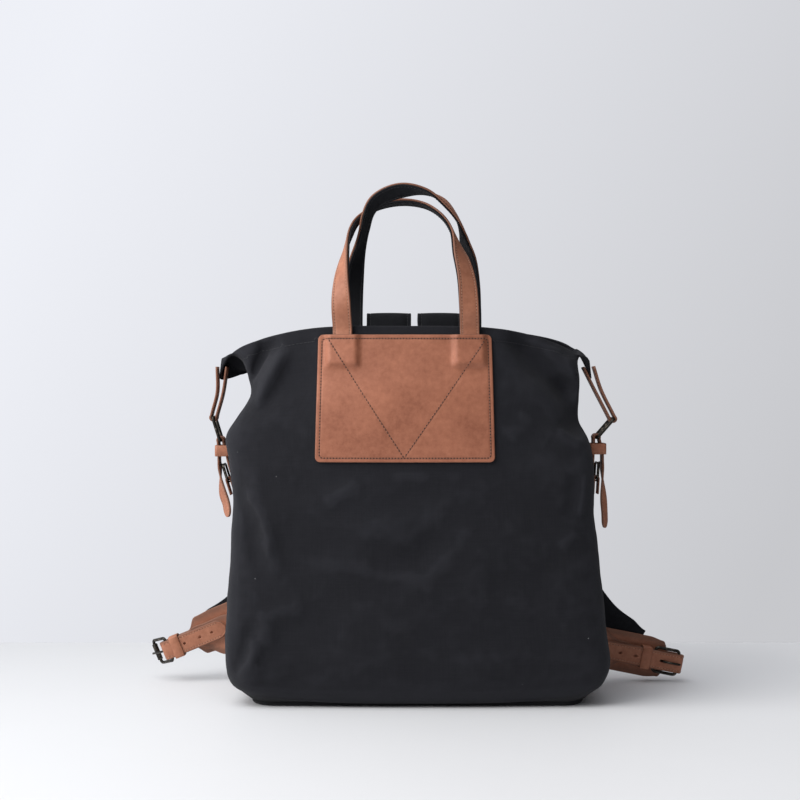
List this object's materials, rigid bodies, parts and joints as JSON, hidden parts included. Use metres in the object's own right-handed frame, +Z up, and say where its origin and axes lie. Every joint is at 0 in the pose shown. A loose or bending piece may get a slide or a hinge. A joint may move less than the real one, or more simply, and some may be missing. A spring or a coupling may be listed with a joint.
{
  "type": "canvas backpack",
  "caption": "Upright canvas backpack with a leather front patch, twin carry handles, folded-in sides held by buckled side straps, and shoulder straps buckled at the lower corners.",
  "frame": {"origin": "middle of the base panel's underside, on the ground", "axes": "+Z up, +X to the right as seen from the front, the front panel with the leather patch faces -Y"},
  "size_m": [0.5869, 0.1732, 0.5338],
  "materials": {
    "canvas": "matte woven canvas",
    "base_cloth": "matte coated cloth",
    "webbing": "matte woven webbing",
    "leather": "satin oiled leather",
    "dark_metal": "dark antique"
  },
  "bodies": {
    "root": {"canvas_sack": "canvas", "base_panel": "base_cloth", "front_patch": "leather", "front_handle_leather": "leather", "front_handle_webbing": "webbing", "back_handle_leather": "leather", "back_handle_webbing": "webbing", "left_buckle_frame": "dark_metal", "left_buckle_roller": "dark_metal", "left_buckle_prong": "dark_metal", "left_corner_tab": "leather", "left_strap_end": "leather", "left_strap_keeper": "leather", "left_shoulder_strap": "webbing", "right_buckle_frame": "dark_metal", "right_buckle_roller": "dark_metal", "right_buckle_prong": "dark_metal", "right_corner_tab": "leather", "right_strap_end": "leather", "right_strap_keeper": "leather", "right_shoulder_strap": "webbing", "left_ring": "dark_metal", "left_ear_tab": "leather", "left_side_strap": "leather", "left_side_keeper": "leather", "left_side_buckle_frame": "dark_metal", "left_side_buckle_prong": "dark_metal", "left_side_buckle_tab": "leather", "right_ring": "dark_metal", "right_ear_tab": "leather", "right_side_strap": "leather", "right_side_keeper": "leather", "right_side_buckle_frame": "dark_metal", "right_side_buckle_prong": "dark_metal", "right_side_buckle_tab": "leather"}
  },
  "joints": []
}
